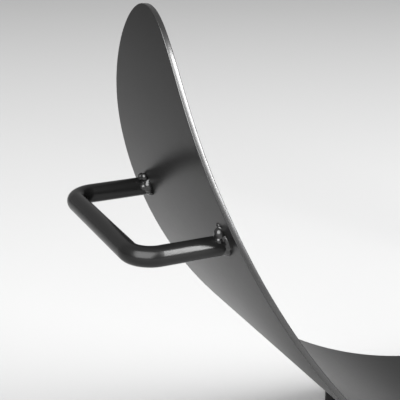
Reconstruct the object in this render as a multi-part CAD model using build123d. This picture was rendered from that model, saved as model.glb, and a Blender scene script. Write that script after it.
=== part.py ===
from build123d import *
from math import asin, cos, pi, radians, sin, sqrt
import os

# Firewood rack: one long oval steel blank rolled into an open cradle, a bent
# round-bar handle welded to each end, and a bent round-bar sled foot with two
# clip-on floor glides under each side of the belly.
# Frame: +X along the cradle, +Y to the back, +Z up. Origin on the floor,
# midway between the feet. All sizes in millimetres.

# Driving dimensions of the rolled sheet
SHEET_THICKNESS = 3.5
BELLY_RADIUS = 380.0        # outer face, from the belly up past the handles
TIP_RADIUS = 255.0          # outer face, the tighter roll towards each tip
TIP_ARC = 92.0              # length of the tighter roll, along the outer face
TIP_SLOPE = radians(94.0)   # the tips lean a little inwards
SHEET_WIDTH = 255.0         # widest place of the oval blank
BELLY_HEIGHT = 20.0         # lowest line of the belly above the floor

# Driving dimensions of the bent bars
BAR_DIAMETER = 12.0
BEND_RADIUS = 14.0          # centre line
HANDLE_SPACING = 115.0      # between the centre lines of its two legs
HANDLE_REACH = 53.0         # from the sheet to the centre line of the grip
HANDLE_BELOW_TIP = 131.5    # along the outer face
FOOT_SPACING = 200.0
FOOT_X = 170.0

# Driving dimensions of the weld beads: short rows of lumps over the side where the
# sheet leans on the bar's square-cut end
LUMP_RADIUS = 4.2
LUMP_OFFSET = 2.0           # from the bar's skin to the middle of a lump
LUMP_TURN = radians(20.0)   # from one lump to the next, round the bar
ROOT_GAP = 0.5              # left between the bar's end and the sheet
HANDLE_BEADS = {"front": (radians(62.0), 3), "back": (radians(20.0), 4)}
FOOT_BEADS = {"front": (radians(40.0), 6), "back": (radians(40.0), 6)}

# Driving dimensions of the floor glides
GLIDE_LENGTH = 26.0
GLIDE_WALL = 2.5
GLIDE_SOLE = 3.0            # thickness below the bar
GLIDE_SOLE_WIDTH = 16.0
GLIDE_MOUTH = 9.4           # the clip snaps over the bar through this gap
GLIDE_CLEARANCE = 0.05
GLIDE_INSET = 30.0          # from the bar's leg to the middle of the glide

# Worked out from the driving dimensions
BAR_RADIUS = BAR_DIAMETER / 2
TIP_START = TIP_SLOPE - TIP_ARC / TIP_RADIUS      # slope where the roll tightens
BELLY_ARC = BELLY_RADIUS * TIP_START
HALF_BLANK = BELLY_ARC + TIP_ARC
BELLY_CENTRE = Vector(0, 0, BELLY_HEIGHT + BELLY_RADIUS)
RAIL_HEIGHT = GLIDE_SOLE + BAR_RADIUS             # centre line of a foot's rail
FACES = {"front": -1, "back": 1}

# Helpers of the construction, all well clear of the real solids
MARGIN = 5.0
OUTLINE_POINTS = 48


def roll_point(arc, depth):
    """Point of the rolled profile at an arc length from the middle, going in by depth."""
    side = 1 if arc >= 0 else -1
    along = abs(arc)
    if along <= BELLY_ARC:
        slope = along / BELLY_RADIUS
        centre_x = 0.0
        centre_z = BELLY_CENTRE.Z
        radius = BELLY_RADIUS - depth
    else:
        slope = TIP_START + (along - BELLY_ARC) / TIP_RADIUS
        centre_x = (BELLY_RADIUS - TIP_RADIUS) * sin(TIP_START)
        centre_z = BELLY_CENTRE.Z - (BELLY_RADIUS - TIP_RADIUS) * cos(TIP_START)
        radius = TIP_RADIUS - depth
    return side * (centre_x + radius * sin(slope)), centre_z - radius * cos(slope)


def face_point(arc):
    """Point on the middle line of the sheet's outer face."""
    x, z = roll_point(arc, 0)
    return Vector(x, 0, z)


def rolled_outline(depth):
    """The oval outline of the blank, wrapped on the roll at one depth, as a closed spline."""
    points = []
    for step in range(OUTLINE_POINTS):
        turn = 2 * pi * step / OUTLINE_POINTS
        x, z = roll_point(HALF_BLANK * cos(turn), depth)
        points.append(Vector(x, SHEET_WIDTH / 2 * sin(turn), z))
    return Edge.make_spline(points, periodic=True)


def make_cradle_sheet():
    """Trim the rolled outer face along the oval outline, then give it the sheet's thickness."""
    trim = Face.make_surface_from_curves(
        rolled_outline(-MARGIN), rolled_outline(SHEET_THICKNESS + MARGIN)
    )
    reach = HALF_BLANK + MARGIN
    middle = (reach + BELLY_ARC) / 2
    rolls = [(-reach, -middle, -BELLY_ARC), (-BELLY_ARC, 0, BELLY_ARC), (BELLY_ARC, middle, reach)]
    seeds = [-BELLY_ARC, 0, BELLY_ARC]
    half_band = Vector(0, SHEET_WIDTH / 2 + MARGIN, 0)
    faces = []
    for stations, seed in zip(rolls, seeds):
        points = [face_point(arc) - half_band for arc in stations]
        band = Face.extrude(Edge.make_three_point_arc(*points), half_band * 2)
        pieces = band.split(trim, keep=Keep.ALL)
        faces.append(min(pieces, key=lambda piece: piece.distance_to(face_point(seed))))
    return Solid.thicken(Shell(faces), -SHEET_THICKNESS)      # minus is towards the inside


def bent_bar(spacing, start, reach):
    """A round bar bent twice: square-cut legs along -X from -start, the cross-piece at -reach."""
    half = spacing / 2
    corners = [(-start, half), (-reach, half), (-reach, -half), (-start, -half)]
    with BuildPart() as bar:
        with BuildLine():
            path = FilletPolyline(*corners, radius=BEND_RADIUS)
        with BuildSketch(Plane(origin=path @ 0, z_dir=path % 0)):
            Circle(BAR_RADIUS)
        sweep()
    return bar.part


def to_belly(point, outward):
    """How far a point goes outward before it meets the belly's outer face."""
    offset = Vector(point.X, 0, point.Z) - BELLY_CENTRE
    along = offset.dot(outward)
    return sqrt(along**2 - offset.length**2 + BELLY_RADIUS**2) - along


def leaning_side(base, outward):
    """The direction across a leg towards the side where the sheet leans on its end."""
    normal = (base - BELLY_CENTRE).normalized()
    return (outward * normal.dot(outward) - normal).normalized()


def weld_bead(leg, outward, bead, bar, sheet):
    """Overlapping lumps in the corner between a leg and the sheet, from the front over the lean."""
    first_turn, count = bead
    lean = leaning_side(Vector(leg.X, 0, leg.Z), outward)
    lumps = []
    for step in range(count):
        turn = first_turn + step * LUMP_TURN
        spoke = Vector(0, -cos(turn), 0) + lean * sin(turn)
        centre = leg + spoke * (BAR_RADIUS + LUMP_OFFSET)
        centre += outward * to_belly(centre, outward)
        lumps.append(Pos(centre) * Sphere(LUMP_RADIUS))
    row = lumps[0].fuse(*lumps[1:])
    return max((row - bar - sheet).solids(), key=lambda piece: piece.volume)


def make_glide():
    """A clip-on floor glide: a flat sole below a C that grips the rail, along Y."""
    bore = BAR_RADIUS + GLIDE_CLEARANCE
    outside = bore + GLIDE_WALL
    lip = sqrt(bore**2 - (GLIDE_MOUTH / 2) ** 2)
    with BuildPart() as glide:
        with BuildSketch(Plane.XZ):
            with Locations((0, RAIL_HEIGHT)):
                Circle(outside)
            with Locations((0, RAIL_HEIGHT / 2)):
                Rectangle(GLIDE_SOLE_WIDTH, RAIL_HEIGHT)
            with Locations((0, RAIL_HEIGHT)):
                Circle(bore, mode=Mode.SUBTRACT)
            with Locations((0, RAIL_HEIGHT + lip + outside / 2)):
                Rectangle(2 * outside, outside, mode=Mode.SUBTRACT)
        extrude(amount=GLIDE_LENGTH / 2, both=True)
    return glide.part


def weld_bar(name, base, outward, spacing, reach, beads, sheet):
    """A bent bar standing on the sheet and the weld bead of each of its legs, by name."""
    plane = Plane(origin=base, x_dir=-outward, z_dir=Vector(0, 1, 0).cross(outward))
    lean = base + leaning_side(base, outward) * BAR_RADIUS
    start = to_belly(lean, outward) + ROOT_GAP
    bar = plane.location * bent_bar(spacing, start, reach)
    nodes = {name: bar}
    for face, sign in FACES.items():
        leg = base + Vector(0, sign * spacing / 2, 0)
        nodes[f"{name}_weld_{face}"] = weld_bead(leg, outward, beads[face], bar, sheet)
    return nodes


def left_nodes(sheet):
    """The handle, foot and glides of the left half, by name without the side."""
    grip = face_point(HANDLE_BELOW_TIP - HALF_BLANK)
    foot = face_point(-BELLY_RADIUS * asin(FOOT_X / BELLY_RADIUS))
    nodes = weld_bar("handle", grip, Vector(-1, 0, 0), HANDLE_SPACING, HANDLE_REACH,
                     HANDLE_BEADS, sheet)
    nodes.update(weld_bar("foot", foot, Vector(0, 0, -1), FOOT_SPACING,
                          foot.Z - RAIL_HEIGHT, FOOT_BEADS, sheet))
    glide = make_glide()
    for face, sign in FACES.items():
        place = Pos(foot.X, sign * (FOOT_SPACING / 2 - GLIDE_INSET), 0)
        nodes[f"glide_{face}"] = place * glide
    return nodes


def build_nodes():
    """Every piece of the rack in its place, by node name. The right half mirrors the left."""
    sheet = make_cradle_sheet()
    nodes = {"cradle_sheet": sheet}
    for name, piece in left_nodes(sheet).items():
        kind, _, detail = name.partition("_")
        tail = f"_{detail}" if detail else ""
        nodes[f"{kind}_left{tail}"] = piece
        nodes[f"{kind}_right{tail}"] = mirror(piece, about=Plane.YZ)
    return nodes


os.makedirs("parts", exist_ok=True)
for node_name, shape in build_nodes().items():
    export_step(shape, f"parts/{node_name}.step")
    print(f"{node_name}: {shape.volume / 1000:.2f} cm3")
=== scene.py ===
"""The looks of a firewood rack: a rolled oval sheet, bar handles, sled feet and floor glides."""

import logging
from dataclasses import dataclass, field
from enum import Enum
from math import acos, asin, cos, pi, radians, sin, sqrt
from random import Random

import bmesh
import bpy
from mathutils import Matrix, Quaternion, Vector


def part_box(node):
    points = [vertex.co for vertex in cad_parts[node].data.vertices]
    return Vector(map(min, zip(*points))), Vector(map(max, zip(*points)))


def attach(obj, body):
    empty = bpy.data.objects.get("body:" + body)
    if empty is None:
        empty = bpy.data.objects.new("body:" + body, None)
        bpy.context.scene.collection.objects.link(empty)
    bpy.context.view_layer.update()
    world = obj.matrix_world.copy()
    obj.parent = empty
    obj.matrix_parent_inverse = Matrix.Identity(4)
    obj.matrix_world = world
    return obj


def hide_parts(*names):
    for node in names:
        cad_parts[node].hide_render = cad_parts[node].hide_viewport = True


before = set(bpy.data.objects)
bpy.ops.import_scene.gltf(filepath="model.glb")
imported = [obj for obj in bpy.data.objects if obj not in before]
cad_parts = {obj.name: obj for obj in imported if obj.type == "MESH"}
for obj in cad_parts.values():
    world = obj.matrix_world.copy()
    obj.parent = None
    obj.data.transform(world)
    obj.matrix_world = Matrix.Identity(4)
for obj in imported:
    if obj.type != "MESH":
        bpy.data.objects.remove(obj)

LOG = logging.getLogger("firewood_rack")
BODY = "root"
MILLIMETRE = 0.001
MICRON = 0.000001
PICTURE_SIDE = 400           # pixels of the square picture
SENSOR_WIDTH = 36.0          # millimetres, the long side of the picture
BAR_RADIUS = 6.0 * MILLIMETRE
DEEP_TINT = (0.86, 0.86, 0.88)
PALE_TINT = (1.16, 1.15, 1.14)
ROW_TURN = 20.0              # degrees from one lump of a row to the next
HANDLE_SEED = 20
FOOT_SEED = 40
SIDE_SEED = 3                # between the middle and either end

Number = float | int
Tint = tuple[float, float, float]
Colour = tuple[float, float, float, float]


class Side(Enum):
    """The two ends of the rack, with the sign of their X."""

    LEFT = -1
    RIGHT = 1


class Face(Enum):
    """The front and the back of the rack, with the sign of their Y."""

    FRONT = -1
    BACK = 1


class Slot(Enum):
    """The record's material slots."""

    SHEET = "sheet_coat"
    BAR = "bar_coat"
    WELD = "weld_coat"
    GLIDE = "glide_plastic"


class Signal:
    """A value in a shader, on which the arithmetic operators add Math nodes."""

    def __init__(self, graph: "ShaderGraph", socket: bpy.types.NodeSocket) -> None:
        """Keep the socket that gives the value and the graph that it belongs to."""
        self.graph = graph
        self.socket = socket

    def __add__(self, other: "Signal | Number") -> "Signal":
        """Add a value or a number."""
        return self.graph.math("ADD", self, other)

    def __radd__(self, other: Number) -> "Signal":
        """Add to a number."""
        return self.graph.math("ADD", other, self)

    def __sub__(self, other: "Signal | Number") -> "Signal":
        """Take a value or a number away."""
        return self.graph.math("SUBTRACT", self, other)

    def __rsub__(self, other: Number) -> "Signal":
        """Take this value away from a number."""
        return self.graph.math("SUBTRACT", other, self)

    def __mul__(self, other: "Signal | Number") -> "Signal":
        """Multiply by a value or a number."""
        return self.graph.math("MULTIPLY", self, other)

    def __rmul__(self, other: Number) -> "Signal":
        """Multiply a number by this value."""
        return self.graph.math("MULTIPLY", other, self)


class ShaderGraph:
    """The node tree of one material, with the few helpers that its finish needs."""

    def __init__(self, name: str) -> None:
        """Make an empty material and its output.

        Args:
            name: The material's name.
        """
        self.material = bpy.data.materials.new(name)
        self.material.use_nodes = True
        self.tree = self.material.node_tree
        self.tree.nodes.clear()
        self.output = self.tree.nodes.new("ShaderNodeOutputMaterial")

    def node(self, kind: str, settings: dict | None = None, **inputs: object) -> bpy.types.Node:
        """Add one node.

        Args:
            kind: The node's type.
            settings: Properties of the node, set before its sockets.
            **inputs: A value, Signal or socket for each named input; "_0" names input 0.

        Returns:
            The new node.
        """
        made = self.tree.nodes.new(kind)
        for key, value in (settings or {}).items():
            setattr(made, key, value)
        for key, value in inputs.items():
            socket = int(key[1:]) if key[0] == "_" else key.replace("_", " ")
            self.feed(made.inputs[socket], value)
        return made

    def feed(self, target: bpy.types.NodeSocket, value: object) -> None:
        """Link a value to an input, or set the input to a constant.

        Args:
            target: The input.
            value: A Signal, a socket or a constant.
        """
        if isinstance(value, Signal):
            value = value.socket
        if isinstance(value, bpy.types.NodeSocket):
            self.tree.links.new(value, target)
        else:
            target.default_value = value

    def math(self, operation: str, first: "Signal | Number", second: "Signal | Number") -> Signal:
        """Add a Math node and return its value."""
        made = self.node("ShaderNodeMath", {"operation": operation}, _0=first, _1=second)
        return Signal(self, made.outputs[0])

    def noise(self, waves: float, detail: float = 2.0) -> Signal:
        """Return fractal noise on the piece's own coordinates.

        Args:
            waves: Waves in a metre.
            detail: Octaves of finer noise on top.

        Returns:
            The noise, from 0 to 1, about one half.
        """
        where = self.node("ShaderNodeTexCoord").outputs["Object"]
        made = self.node("ShaderNodeTexNoise", Vector=where, Scale=waves, Detail=detail)
        return Signal(self, made.outputs["Fac"])

    def blend(self, share: Signal, first: Colour, second: Colour) -> bpy.types.NodeSocket:
        """Return a colour between two others."""
        made = self.node("ShaderNodeMix", {"data_type": "RGBA"}, _0=share, _6=first, _7=second)
        return made.outputs[2]

    def bump(self, height: Signal, distance: float) -> bpy.types.NodeSocket:
        """Return a normal from a height.

        Args:
            height: The height, as a share of the distance.
            distance: The real height of one, in metres.

        Returns:
            The normal.
        """
        return self.node("ShaderNodeBump", Height=height, Distance=distance).outputs["Normal"]

    def finish(self, **inputs: object) -> bpy.types.Material:
        """Close the graph with one Principled shader.

        Args:
            **inputs: A value, Signal or socket for each named input of the shader.

        Returns:
            The material.
        """
        shader = self.node("ShaderNodeBsdfPrincipled", None, **inputs)
        self.tree.links.new(shader.outputs[0], self.output.inputs["Surface"])
        return self.material


def tinted(grey: float, tint: Tint) -> Colour:
    """Return a linear grey with a slight tint."""
    return (grey * tint[0], grey * tint[1], grey * tint[2], 1.0)


@dataclass(frozen=True)
class PowderCoat:
    """Baked powder coat: near black, with an orange peel and a slight mottle."""

    name: str
    colour: float                # linear grey of the pigment
    ior: float                   # of the coat's skin
    roughness: float
    mottle: float                # how far roughness wanders
    peel_waves: float            # waves of the orange peel in a metre
    peel_height: float           # metres
    grain_waves: float           # waves of the finer grain in a metre
    grain_height: float          # metres
    cloud_waves: float = 9.0     # of the broad mottle, in a metre
    speck_waves: float = 260.0   # of the fine mottle, in a metre
    speck_share: float = 0.6     # of the fine mottle in the colour

    def material(self) -> bpy.types.Material:
        """Build the coat's material.

        Returns:
            The material.
        """
        graph = ShaderGraph(self.name)
        cloud = graph.noise(self.cloud_waves, detail=3.0)
        speck = graph.noise(self.speck_waves, detail=3.0)
        share = speck * self.speck_share + cloud * (1.0 - self.speck_share)
        deep, pale = tinted(self.colour, DEEP_TINT), tinted(self.colour, PALE_TINT)
        wander = (cloud - 0.5) * self.mottle + (speck - 0.5) * self.mottle
        peel = graph.noise(self.peel_waves, detail=1.0)
        grain = graph.noise(self.grain_waves)
        height = peel + grain * (self.grain_height / self.peel_height)
        return graph.finish(
            Base_Color=graph.blend(share, deep, pale),
            Roughness=self.roughness + wander,
            IOR=self.ior,
            Normal=graph.bump(height, self.peel_height),
        )


@dataclass(frozen=True)
class MouldedPlastic:
    """Matt moulded plastic with a fine spark-eroded texture."""

    name: str
    colour: float                # linear grey
    roughness: float
    spread: float = 0.2          # how far the colour wanders
    wander: float = 0.12         # how far roughness wanders
    cloud_waves: float = 60.0    # of the colour, in a metre
    grain_waves: float = 2400.0  # of the texture, in a metre
    grain_height: float = 30.0 * MICRON

    def material(self) -> bpy.types.Material:
        """Build the plastic's material.

        Returns:
            The material.
        """
        graph = ShaderGraph(self.name)
        grain = graph.noise(self.grain_waves)
        cloud = graph.noise(self.cloud_waves)
        deep, pale = self.colour * (1.0 - self.spread), self.colour * (1.0 + self.spread)
        return graph.finish(
            Base_Color=graph.blend(cloud, (deep, deep, deep, 1.0), (pale, pale, pale, 1.0)),
            Roughness=self.roughness + (grain - 0.5) * self.wander,
            Normal=graph.bump(grain, self.grain_height),
        )


SHEET_COAT = PowderCoat(
    "satin_coat_sheet", colour=0.006, ior=1.17, roughness=0.29, mottle=0.03,
    peel_waves=620.0, peel_height=2.5 * MICRON, grain_waves=2600.0, grain_height=0.8 * MICRON,
)
RIM_COAT = PowderCoat(
    "gloss_coat_rim", colour=0.005, ior=1.56, roughness=0.27, mottle=0.04,
    peel_waves=620.0, peel_height=2.0 * MICRON, grain_waves=2600.0, grain_height=0.8 * MICRON,
)
BAR_COAT = PowderCoat(
    "satin_coat_bar", colour=0.004, ior=1.28, roughness=0.25, mottle=0.06,
    peel_waves=520.0, peel_height=9.0 * MICRON, grain_waves=1900.0, grain_height=4.0 * MICRON,
)
WELD_COAT = PowderCoat(
    "gloss_coat_weld", colour=0.005, ior=1.46, roughness=0.24, mottle=0.06,
    peel_waves=900.0, peel_height=20.0 * MICRON, grain_waves=2600.0, grain_height=3.0 * MICRON,
)
GLIDE_PLASTIC = MouldedPlastic("moulded_black_plastic", colour=0.022, roughness=0.55)


def new_piece(name: str, mesh: bmesh.types.BMesh, materials: list[bpy.types.Material], slot: Slot,
              *replaced: str) -> bpy.types.Object:
    """Turn a finished bmesh into a piece of the rack.

    Args:
        name: The piece's name.
        mesh: The shape, in the rack's frame. It is freed here.
        materials: Its finishes, in the order of the faces' material indices.
        slot: The record's slot that the finish belongs to; not used.
        *replaced: CAD nodes that the piece stands for.

    Returns:
        The piece, riding on the rack's only body.
    """
    bmesh.ops.recalc_face_normals(mesh, faces=mesh.faces)
    if mesh.calc_volume(signed=True) < 0.0:
        bmesh.ops.reverse_faces(mesh, faces=mesh.faces)
    for face in mesh.faces:
        face.smooth = True
    data = bpy.data.meshes.new(name)
    mesh.to_mesh(data)
    mesh.free()
    for material in materials:
        data.materials.append(material)
    piece = bpy.data.objects.new(name, data)
    bpy.context.scene.collection.objects.link(piece)
    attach(piece, BODY)
    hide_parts(*replaced)
    LOG.info("%s: %d faces, %s", name, len(data.polygons), materials[0].name)
    return piece


def melted(mesh: bmesh.types.BMesh, voxel: float) -> bmesh.types.BMesh:
    """Melt overlapping shapes into one closed skin.

    Args:
        mesh: The shapes. It is freed here.
        voxel: Size of the skin's faces, in metres.

    Returns:
        The skin.
    """
    data = bpy.data.meshes.new("melt")
    mesh.to_mesh(data)
    mesh.free()
    pool = bpy.data.objects.new("melt", data)
    bpy.context.scene.collection.objects.link(pool)
    remesh = pool.modifiers.new("melt", "REMESH")
    remesh.mode = "VOXEL"
    remesh.voxel_size = voxel
    current = bpy.context.evaluated_depsgraph_get()
    skin = bpy.data.meshes.new_from_object(pool.evaluated_get(current))
    bpy.data.objects.remove(pool)
    bpy.data.meshes.remove(data)
    result = bmesh.new()
    result.from_mesh(skin)
    bpy.data.meshes.remove(skin)
    return result


@dataclass
class CradleSheet:
    """The oval steel blank, rounded along its cut edge and rolled into the cradle."""

    thickness: float = 3.5 * MILLIMETRE
    belly_radius: float = 380.0 * MILLIMETRE
    tip_radius: float = 255.0 * MILLIMETRE
    tip_arc: float = 92.0 * MILLIMETRE
    tip_slope: float = radians(94.0)
    edge_round: float = 0.6 * MILLIMETRE
    edge_guard: float = 0.3 * MILLIMETRE      # flat ring kept beside the rounding
    edge_fold: float = radians(60)            # edges folded more than this are the blank's
    edge_steps: int = 5                       # faces over one rounding
    rim_slant: float = 0.9                    # faces with a smaller Z in their normal are the rim
    rim_steps: int = 360                      # faces round the oval
    rings: int = 56                           # from the middle to the edge
    width: float = field(init=False)
    belly_height: float = field(init=False)

    def __post_init__(self) -> None:
        """Take the width and the height above the floor from the frame."""
        low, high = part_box("cradle_sheet")
        self.width = high.y - low.y
        self.belly_height = low.z

    @property
    def tip_start(self) -> float:
        """Slope at which the roll tightens."""
        return self.tip_slope - self.tip_arc / self.tip_radius

    @property
    def belly_arc(self) -> float:
        """Length of half the belly's roll, along the outer face."""
        return self.belly_radius * self.tip_start

    @property
    def half_blank(self) -> float:
        """Half the length of the flat blank."""
        return self.belly_arc + self.tip_arc

    @property
    def belly_centre(self) -> Vector:
        """Centre of the belly's roll."""
        return Vector((0.0, 0.0, self.belly_height + self.belly_radius))

    def rolled(self, flat: Vector) -> Vector:
        """Where a point of the flat blank goes when it is rolled.

        Args:
            flat: X along the blank's outer face, Y across it, Z the depth below that face.

        Returns:
            The point in the rack's frame.
        """
        side = 1.0 if flat.x >= 0.0 else -1.0
        along = abs(flat.x)
        if along <= self.belly_arc:
            slope = along / self.belly_radius
            centre = self.belly_centre
            radius = self.belly_radius - flat.z
        else:
            slope = self.tip_start + (along - self.belly_arc) / self.tip_radius
            tighter = self.belly_radius - self.tip_radius
            turn = Vector((sin(self.tip_start), 0.0, -cos(self.tip_start)))
            centre = self.belly_centre + turn * tighter
            radius = self.tip_radius - flat.z
        x = side * (centre.x + radius * sin(slope))
        return Vector((x, flat.y, centre.z - radius * cos(slope)))

    def to_belly(self, point: Vector, outward: Vector) -> float:
        """Return how far a point goes outward before it meets the belly's outer face.

        Args:
            point: Where the way starts.
            outward: Its direction, of length one and square to Y.

        Returns:
            The length of the way, in metres.
        """
        offset = Vector((point.x, 0.0, point.z)) - self.belly_centre
        along = offset.dot(outward)
        return sqrt(along**2 - offset.length_squared + self.belly_radius**2) - along

    def seat(self, point: Vector, depth: float) -> Vector:
        """Lift a point out of the sheet where it lies too deep in it.

        Args:
            point: The point.
            depth: The greatest depth below the outer face, in metres.

        Returns:
            The point, lifted straight towards the outer face where need be.
        """
        axis = Vector((self.belly_centre.x, point.y, self.belly_centre.z))
        offset = point - axis
        return axis + offset.normalized() * max(offset.length, self.belly_radius - depth)

    def blank(self) -> bmesh.types.BMesh:
        """Cut the oval blank, give it its thickness and round its edge.

        Returns:
            The flat blank, its outer face at Z zero and its rim marked as the second material.
        """
        mesh = bmesh.new()
        bmesh.ops.create_circle(mesh, cap_ends=True, cap_tris=True, segments=self.rim_steps,
                                radius=1.0)
        spokes = [edge for edge in mesh.edges if not edge.is_boundary]
        bmesh.ops.subdivide_edges(mesh, edges=spokes, cuts=self.rings)
        bmesh.ops.scale(mesh, vec=(self.half_blank, self.width / 2, 1.0), verts=mesh.verts)
        guard = self.edge_round + self.edge_guard
        bmesh.ops.inset_region(mesh, faces=mesh.faces, thickness=guard, use_boundary=True,
                               use_even_offset=True)
        bmesh.ops.solidify(mesh, geom=mesh.faces, thickness=self.thickness)
        rim = [edge for edge in mesh.edges
               if edge.is_manifold and edge.calc_face_angle() > self.edge_fold]
        bmesh.ops.bevel(mesh, geom=rim, offset=self.edge_round, offset_type="OFFSET",
                        segments=self.edge_steps, profile=0.5, affect="EDGES",
                        clamp_overlap=True, material=-1)
        lowest = min(vert.co.z for vert in mesh.verts)
        bmesh.ops.translate(mesh, vec=(0.0, 0.0, -lowest), verts=mesh.verts)
        mesh.normal_update()
        for face in mesh.faces:
            face.material_index = int(abs(face.normal.z) < self.rim_slant)
        return mesh

    def build(self) -> bpy.types.Object:
        """Roll the blank and hang it in the frame.

        Returns:
            The finished sheet.
        """
        mesh = self.blank()
        for vert in mesh.verts:
            vert.co = self.rolled(vert.co)
        coats = [SHEET_COAT.material(), RIM_COAT.material()]
        return new_piece("rolled_sheet", mesh, coats, Slot.SHEET, "cradle_sheet")


@dataclass(frozen=True)
class Lump:
    """One frozen lump of a weld bead, in degrees and millimetres."""

    turn: float                  # round the leg, from the front towards where the sheet leans
    from_leg: float              # from the leg's centre line to the lump's middle
    from_sheet: float            # from the sheet's outer face out to the lump's middle
    radius: float


def laid_row(lumps: int, first_turn: float, from_leg: float, from_sheet: float,
             radius: float) -> list[Lump]:
    """Return a row of equal lumps round a leg.

    Args:
        lumps: How many.
        first_turn: Place of the first one, in degrees.
        from_leg: Distance from the leg's centre line, in millimetres.
        from_sheet: Height above the sheet, in millimetres.
        radius: Size of each lump, in millimetres.

    Returns:
        The lumps.
    """
    turns = [first_turn + ROW_TURN * step for step in range(lumps)]
    return [Lump(turn, from_leg, from_sheet, radius) for turn in turns]


HANDLE_BEADS = {
    Face.FRONT: [
        Lump(72.0, 9.2, 1.3, 3.5),        # the crown, in the corner
        Lump(79.0, 11.0, -1.6, 3.2),      # up the sheet
        Lump(85.0, 13.0, -1.0, 2.5),
        Lump(60.0, 7.4, -1.9, 3.7),       # shallow, towards the front
        Lump(44.0, 7.2, -1.9, 3.4),
        Lump(84.0, 6.2, 3.0, 2.2),        # up the bar
        Lump(68.0, 6.0, 3.0, 2.3),
        Lump(54.0, 6.0, 3.4, 2.3),
        Lump(90.0, 8.4, -1.4, 3.6),       # shallow, behind
        Lump(106.0, 7.4, -1.4, 3.4),
        Lump(20.0, 5.0, -0.6, 3.2),       # under the bar's cut end
        Lump(-8.0, 3.4, 0.2, 3.3),
        Lump(-36.0, 3.6, 0.2, 3.1),
        *laid_row(6, -160.0, 3.8, 0.4, 3.2),      # and on to the far side
    ],
    Face.BACK: [
        Lump(20.0, 7.0, 1.5, 3.8),        # the crown, in front of the bar
        Lump(8.0, 6.2, 2.2, 3.2),
        Lump(66.0, 7.2, 0.6, 3.3),        # over the crown, with a ridge
        Lump(61.0, 8.9, 2.7, 2.5),
        Lump(57.0, 9.7, 2.0, 2.5),
        Lump(54.0, 10.4, 1.2, 2.5),
        Lump(42.0, 7.6, 0.0, 3.3),
        Lump(50.0, 6.0, 2.0, 2.2),        # up the bar
        Lump(33.0, 6.2, 3.2, 2.0),
        Lump(15.0, 6.4, 4.8, 2.3),
        Lump(-8.0, 3.6, 1.6, 3.7),        # shallow, under the crown
        Lump(-28.0, 3.6, 1.6, 3.5),
        *laid_row(6, -160.0, 3.8, 0.4, 3.2),      # under the bar's cut end
    ],
}
FOOT_BEADS = {
    face: [
        *laid_row(6, 40.0, 7.5, 0.8, 3.2),        # in the corner
        *laid_row(6, 45.0, 6.2, 2.8, 2.4),        # up the bar
        *laid_row(5, 50.0, 9.6, -0.4, 2.9),       # out on the sheet
        *laid_row(9, -170.0, 3.8, 1.5, 3.8),      # under the bar's cut end
    ]
    for face in Face
}


@dataclass
class WeldBead:
    """A hand-laid weld of frozen lumps, highest where the sheet leans on the leg."""

    node: str
    sheet: CradleSheet
    leg: Vector                  # where the leg's centre line meets the sheet
    outward: Vector              # along the leg, away from the sheet
    plan: list[Lump]
    seed: int
    bar_radius: float = BAR_RADIUS
    jitter: float = 0.2 * MILLIMETRE
    root_depth: float = 1.2 * MILLIMETRE      # how deep the bead reaches into the sheet
    voxel: float = 0.25 * MILLIMETRE
    ball_fineness: int = 3                    # of a lump before it melts
    smoothing: int = 10                       # passes over the melted skin
    ease: float = 0.5                         # how far a pass draws a point to its neighbours

    def spoke(self, turn: float) -> Vector:
        """Find the direction from the leg's centre line to a place round it.

        Args:
            turn: Angle from the front towards the side the sheet leans on, in radians.

        Returns:
            The direction, of length one.
        """
        normal = self.leg - Vector((0.0, self.leg.y, 0.0)) - self.sheet.belly_centre
        normal.normalize()
        lean = (self.outward * normal.dot(self.outward) - normal).normalized()
        return Vector((0.0, -cos(turn), 0.0)) + lean * sin(turn)

    def add_lump(self, mesh: bmesh.types.BMesh, lump: Lump, chance: Random) -> None:
        """Add one lump, a little out of its place and size.

        Args:
            mesh: The bead so far.
            lump: The lump as planned.
            chance: Where the small differences come from.
        """
        slip = [chance.uniform(-1.0, 1.0) * self.jitter for _ in range(4)]
        spoke = self.spoke(radians(lump.turn) + slip[0] / self.bar_radius)
        centre = self.leg + spoke * (lump.from_leg * MILLIMETRE + slip[1])
        rise = self.sheet.to_belly(centre, self.outward) + lump.from_sheet * MILLIMETRE + slip[2]
        place = Matrix.Translation(centre + self.outward * rise)
        radius = lump.radius * MILLIMETRE + slip[3]
        bmesh.ops.create_icosphere(mesh, subdivisions=self.ball_fineness, radius=radius,
                                   matrix=place)

    def build(self, coat: bpy.types.Material) -> bpy.types.Object:
        """Lay the lumps, melt them into one bead and seat it on the sheet.

        Args:
            coat: The bead's material.

        Returns:
            The finished bead.
        """
        chance = Random(self.seed)
        mesh = bmesh.new()
        for lump in self.plan:
            self.add_lump(mesh, lump, chance)
        mesh = melted(mesh, self.voxel)
        for _ in range(self.smoothing):
            bmesh.ops.smooth_vert(mesh, verts=mesh.verts, factor=self.ease, use_axis_x=True,
                                  use_axis_y=True, use_axis_z=True)
        for vert in mesh.verts:
            vert.co = self.sheet.seat(vert.co, self.root_depth)
        return new_piece(f"bead_{self.node}", mesh, [coat], Slot.WELD, self.node)


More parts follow.
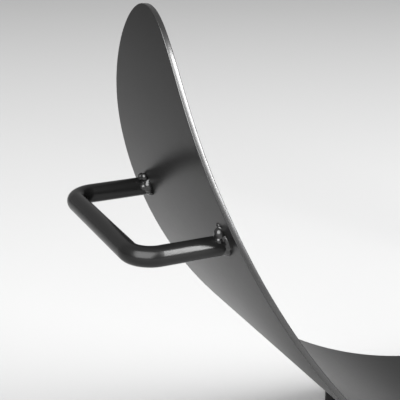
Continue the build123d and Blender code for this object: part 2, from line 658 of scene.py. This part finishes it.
@dataclass
class BentBar:
    """A round bar bent twice, whose two legs stand on the sheet in weld beads."""

    node: str
    sheet: CradleSheet
    outward: Vector
    beads: dict[Face, list[Lump]]
    seed: int
    bar_radius: float = BAR_RADIUS

    def leg(self, face: Face) -> Vector:
        """Find where the centre line of one leg meets the sheet's outer face.

        Args:
            face: The leg's side of the rack.

        Returns:
            The place in the rack's frame.
        """
        low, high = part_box(self.node)
        middle = (low + high) / 2
        start = Vector((middle.x, face.value * (high.y - self.bar_radius), middle.z))
        start -= self.outward * start.dot(self.outward)
        return start + self.outward * self.sheet.to_belly(start, self.outward)

    def build(self, coat: bpy.types.Material, bead_coat: bpy.types.Material) -> None:
        """Dress the bar and lay both beads.

        Args:
            coat: The bar's material.
            bead_coat: The beads' material.
        """
        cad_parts[self.node].data.materials[0] = coat
        LOG.info("%s: %s", self.node, coat.name)
        for face, plan in self.beads.items():
            node = f"{self.node}_weld_{face.name.lower()}"
            seed = self.seed + face.value
            WeldBead(node, self.sheet, self.leg(face), self.outward, plan, seed).build(bead_coat)


@dataclass
class FloorGlide:
    """A moulded clip that grips a foot's rail over a flat sole."""

    node: str
    bar_radius: float = BAR_RADIUS
    clearance: float = 0.05 * MILLIMETRE
    wall: float = 2.5 * MILLIMETRE
    sole_width: float = 16.0 * MILLIMETRE
    mouth: float = 9.4 * MILLIMETRE
    edge_round: float = 0.5 * MILLIMETRE
    edge_steps: int = 3                       # faces over one rounding
    sharp_fold: float = radians(30)           # edges folded more than this are rounded
    flat_weight: int = 60                     # how far flat faces rule the shading
    arc_steps: int = 16
    low: Vector = field(init=False)
    high: Vector = field(init=False)

    def __post_init__(self) -> None:
        """Take the place, the length and the height of the lips from the frame."""
        self.low, self.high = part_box(self.node)

    @property
    def lip(self) -> float:
        """Height of the lips above the rail's centre line."""
        bore = self.bar_radius + self.clearance
        return sqrt(bore**2 - (self.mouth / 2) ** 2)

    def arc(self, mesh: bmesh.types.BMesh, radius: float, end: float) -> list[bmesh.types.BMVert]:
        """Draw one arc round the rail's centre line, down from the lip's height.

        Args:
            mesh: The section so far, in the XZ plane, with that centre line at the origin.
            radius: The arc's radius.
            end: Angle of its last point below +X.

        Returns:
            Its first and last point.
        """
        start = asin(self.lip / radius)
        first = mesh.verts.new((radius * cos(start), 0.0, self.lip))
        swept = bmesh.ops.spin(mesh, geom=[first], cent=(0.0, 0.0, 0.0), axis=(0.0, 1.0, 0.0),
                               dvec=(0.0, 0.0, 0.0), angle=start + end, steps=self.arc_steps,
                               use_merge=False, use_duplicate=False)
        last = next(item for item in swept["geom_last"] if isinstance(item, bmesh.types.BMVert))
        return [first, last]

    def section(self) -> bmesh.types.BMesh:
        """Draw half of the clip's section, mirror it and close it to one face.

        Returns:
            The section in the XZ plane, with the rail's centre line at the origin.
        """
        bore = self.bar_radius + self.clearance
        outside = bore + self.wall
        half_sole = self.sole_width / 2
        floor = self.lip - (self.high.z - self.low.z)
        mesh = bmesh.new()
        inner_lip, _ = self.arc(mesh, bore, pi / 2)
        outer_lip, flank = self.arc(mesh, outside, acos(half_sole / outside))
        corner = mesh.verts.new((half_sole, 0.0, floor))
        middle = mesh.verts.new((0.0, 0.0, floor))
        for ends in ((inner_lip, outer_lip), (flank, corner), (corner, middle)):
            mesh.edges.new(ends)
        bmesh.ops.mirror(mesh, geom=mesh.verts[:] + mesh.edges[:], matrix=Matrix.Identity(4),
                         merge_dist=self.clearance, axis="X")
        bmesh.ops.edgeloop_fill(mesh, edges=mesh.edges[:])
        return mesh

    def build(self, plastic: bpy.types.Material) -> bpy.types.Object:
        """Draw the section out along the rail, round its edges and put it on the rail.

        Args:
            plastic: The clip's material.

        Returns:
            The finished clip.
        """
        mesh = self.section()
        drawn = bmesh.ops.extrude_face_region(mesh, geom=mesh.faces[:])
        moved = [item for item in drawn["geom"] if isinstance(item, bmesh.types.BMVert)]
        bmesh.ops.translate(mesh, vec=(0.0, self.high.y - self.low.y, 0.0), verts=moved)
        bmesh.ops.recalc_face_normals(mesh, faces=mesh.faces)
        sharp = [edge for edge in mesh.edges if edge.calc_face_angle() > self.sharp_fold]
        bmesh.ops.bevel(mesh, geom=sharp, offset=self.edge_round, offset_type="OFFSET",
                        segments=self.edge_steps, profile=0.5, affect="EDGES",
                        clamp_overlap=True, material=-1)
        place = ((self.low.x + self.high.x) / 2, self.low.y, self.high.z - self.lip)
        bmesh.ops.translate(mesh, vec=place, verts=mesh.verts)
        clip = new_piece(f"clip_{self.node}", mesh, [plastic], Slot.GLIDE, self.node)
        flatten = clip.modifiers.new("flat_faces", "WEIGHTED_NORMAL")
        flatten.weight = self.flat_weight
        return clip


@dataclass(frozen=True)
class SoftLight:
    """A rectangular soft light that hangs round the rack's left end and faces it."""

    name: str
    azimuth: float               # degrees from +Y towards +X
    elevation: float             # degrees
    width: float                 # metres
    height: float                # metres
    radiance: float              # brightness of its face
    lean: float = 0.0            # turn in its own plane, in degrees
    distance: float = 4.0        # metres from the camera's aim

    def hang(self, aim: Vector) -> None:
        """Hang the light in the studio.

        Args:
            aim: The point that it faces.
        """
        azimuth, elevation = radians(self.azimuth), radians(self.elevation)
        level = Vector((sin(azimuth), cos(azimuth), 0.0))
        out = level * cos(elevation) + Vector((0.0, 0.0, sin(elevation)))
        data = bpy.data.lights.new(self.name, "AREA")
        data.shape = "RECTANGLE"
        data.size = self.width
        data.size_y = self.height
        data.energy = self.radiance * pi * self.width * self.height
        light = bpy.data.objects.new(self.name, data)
        light.rotation_mode = "QUATERNION"
        upright = out.to_track_quat("Z", "Y")
        light.rotation_quaternion = Quaternion(out, radians(self.lean)) @ upright
        light.location = aim + out * self.distance
        bpy.context.scene.collection.objects.link(light)


SOFT_LIGHTS = [
    SoftLight("tall_light", 147.0, 33.5, width=0.95, height=3.4, radiance=52.0, lean=-17.0),
    SoftLight("front_light", -132.0, 38.0, width=4.4, height=4.9, radiance=11.5),
]


@dataclass
class Studio:
    """A pale floor, soft lights and the camera."""

    floor_side: float = 24.0
    floor_grey: float = 0.26                  # linear
    floor_roughness: float = 0.7
    fill: float = 0.42                        # brightness of the even light from all round
    camera_azimuth: float = radians(24.927)
    camera_drop: float = radians(19.544)
    camera_distance: float = 0.611            # along the view, to the aim
    camera_near: float = 0.01                 # nothing nearer is drawn
    focal_pixels: float = 1000.0
    aim_pixel: tuple[float, float] = (183.247, 212.400)
    aim: Vector = field(default_factory=lambda: Vector((-0.3507506, 0.0, 0.2538015)))

    def add_floor(self) -> None:
        """Lay the pale floor under the rack."""
        mesh = bmesh.new()
        bmesh.ops.create_grid(mesh, x_segments=1, y_segments=1, size=self.floor_side / 2)
        data = bpy.data.meshes.new("floor")
        mesh.to_mesh(data)
        mesh.free()
        pale: Colour = (self.floor_grey, self.floor_grey, self.floor_grey, 1.0)
        graph = ShaderGraph("pale_floor")
        data.materials.append(graph.finish(Base_Color=pale, Roughness=self.floor_roughness))
        floor = bpy.data.objects.new("floor", data)
        bpy.context.scene.collection.objects.link(floor)

    def add_world(self) -> None:
        """Fill the studio with even white light."""
        world = bpy.data.worlds.new("studio")
        world.use_nodes = True
        background = world.node_tree.nodes["Background"]
        background.inputs["Color"].default_value = (1.0, 1.0, 1.0, 1.0)
        background.inputs["Strength"].default_value = self.fill
        scene = bpy.context.scene
        scene.world = world
        scene.view_settings.view_transform = "Standard"

    def add_camera(self) -> None:
        """Set the camera at the picture's viewing angle."""
        azimuth, drop = self.camera_azimuth, self.camera_drop
        forward = Vector((sin(azimuth) * cos(drop), cos(azimuth) * cos(drop), -sin(drop)))
        right = Vector((cos(azimuth), -sin(azimuth), 0.0))
        up = right.cross(forward)
        half = PICTURE_SIDE / 2
        across = (self.aim_pixel[0] - half) / self.focal_pixels
        down = (self.aim_pixel[1] - half) / self.focal_pixels
        data = bpy.data.cameras.new("camera")
        data.lens = self.focal_pixels * SENSOR_WIDTH / PICTURE_SIDE
        data.sensor_width = SENSOR_WIDTH
        data.clip_start = self.camera_near
        camera = bpy.data.objects.new("camera", data)
        camera.rotation_mode = "QUATERNION"
        camera.rotation_quaternion = Matrix((right, up, -forward)).transposed().to_quaternion()
        ray = forward + right * across - up * down
        camera.location = self.aim - ray * self.camera_distance
        bpy.context.scene.collection.objects.link(camera)
        bpy.context.scene.camera = camera

    def build(self) -> None:
        """Set up the whole studio."""
        self.add_floor()
        self.add_world()
        for light in SOFT_LIGHTS:
            light.hang(self.aim)
        self.add_camera()
        LOG.info("studio: floor, lights and camera")


def main() -> None:
    """Build the rack's looks around the frame, piece by piece."""
    logging.basicConfig(level=logging.INFO, format="%(message)s")
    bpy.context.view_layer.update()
    Studio().build()
    sheet = CradleSheet()
    sheet.build()
    bar_coat = BAR_COAT.material()
    weld_coat = WELD_COAT.material()
    plastic = GLIDE_PLASTIC.material()
    down = Vector((0.0, 0.0, -1.0))
    for side in Side:
        tail = side.name.lower()
        outward = Vector((side.value, 0.0, 0.0))
        seed = SIDE_SEED * side.value
        handle = BentBar(f"handle_{tail}", sheet, outward, HANDLE_BEADS, HANDLE_SEED + seed)
        handle.build(bar_coat, weld_coat)
        foot = BentBar(f"foot_{tail}", sheet, down, FOOT_BEADS, FOOT_SEED + seed)
        foot.build(bar_coat, weld_coat)
        for face in Face:
            FloorGlide(f"glide_{tail}_{face.name.lower()}").build(plastic)


if __name__ == "__main__":
    main()
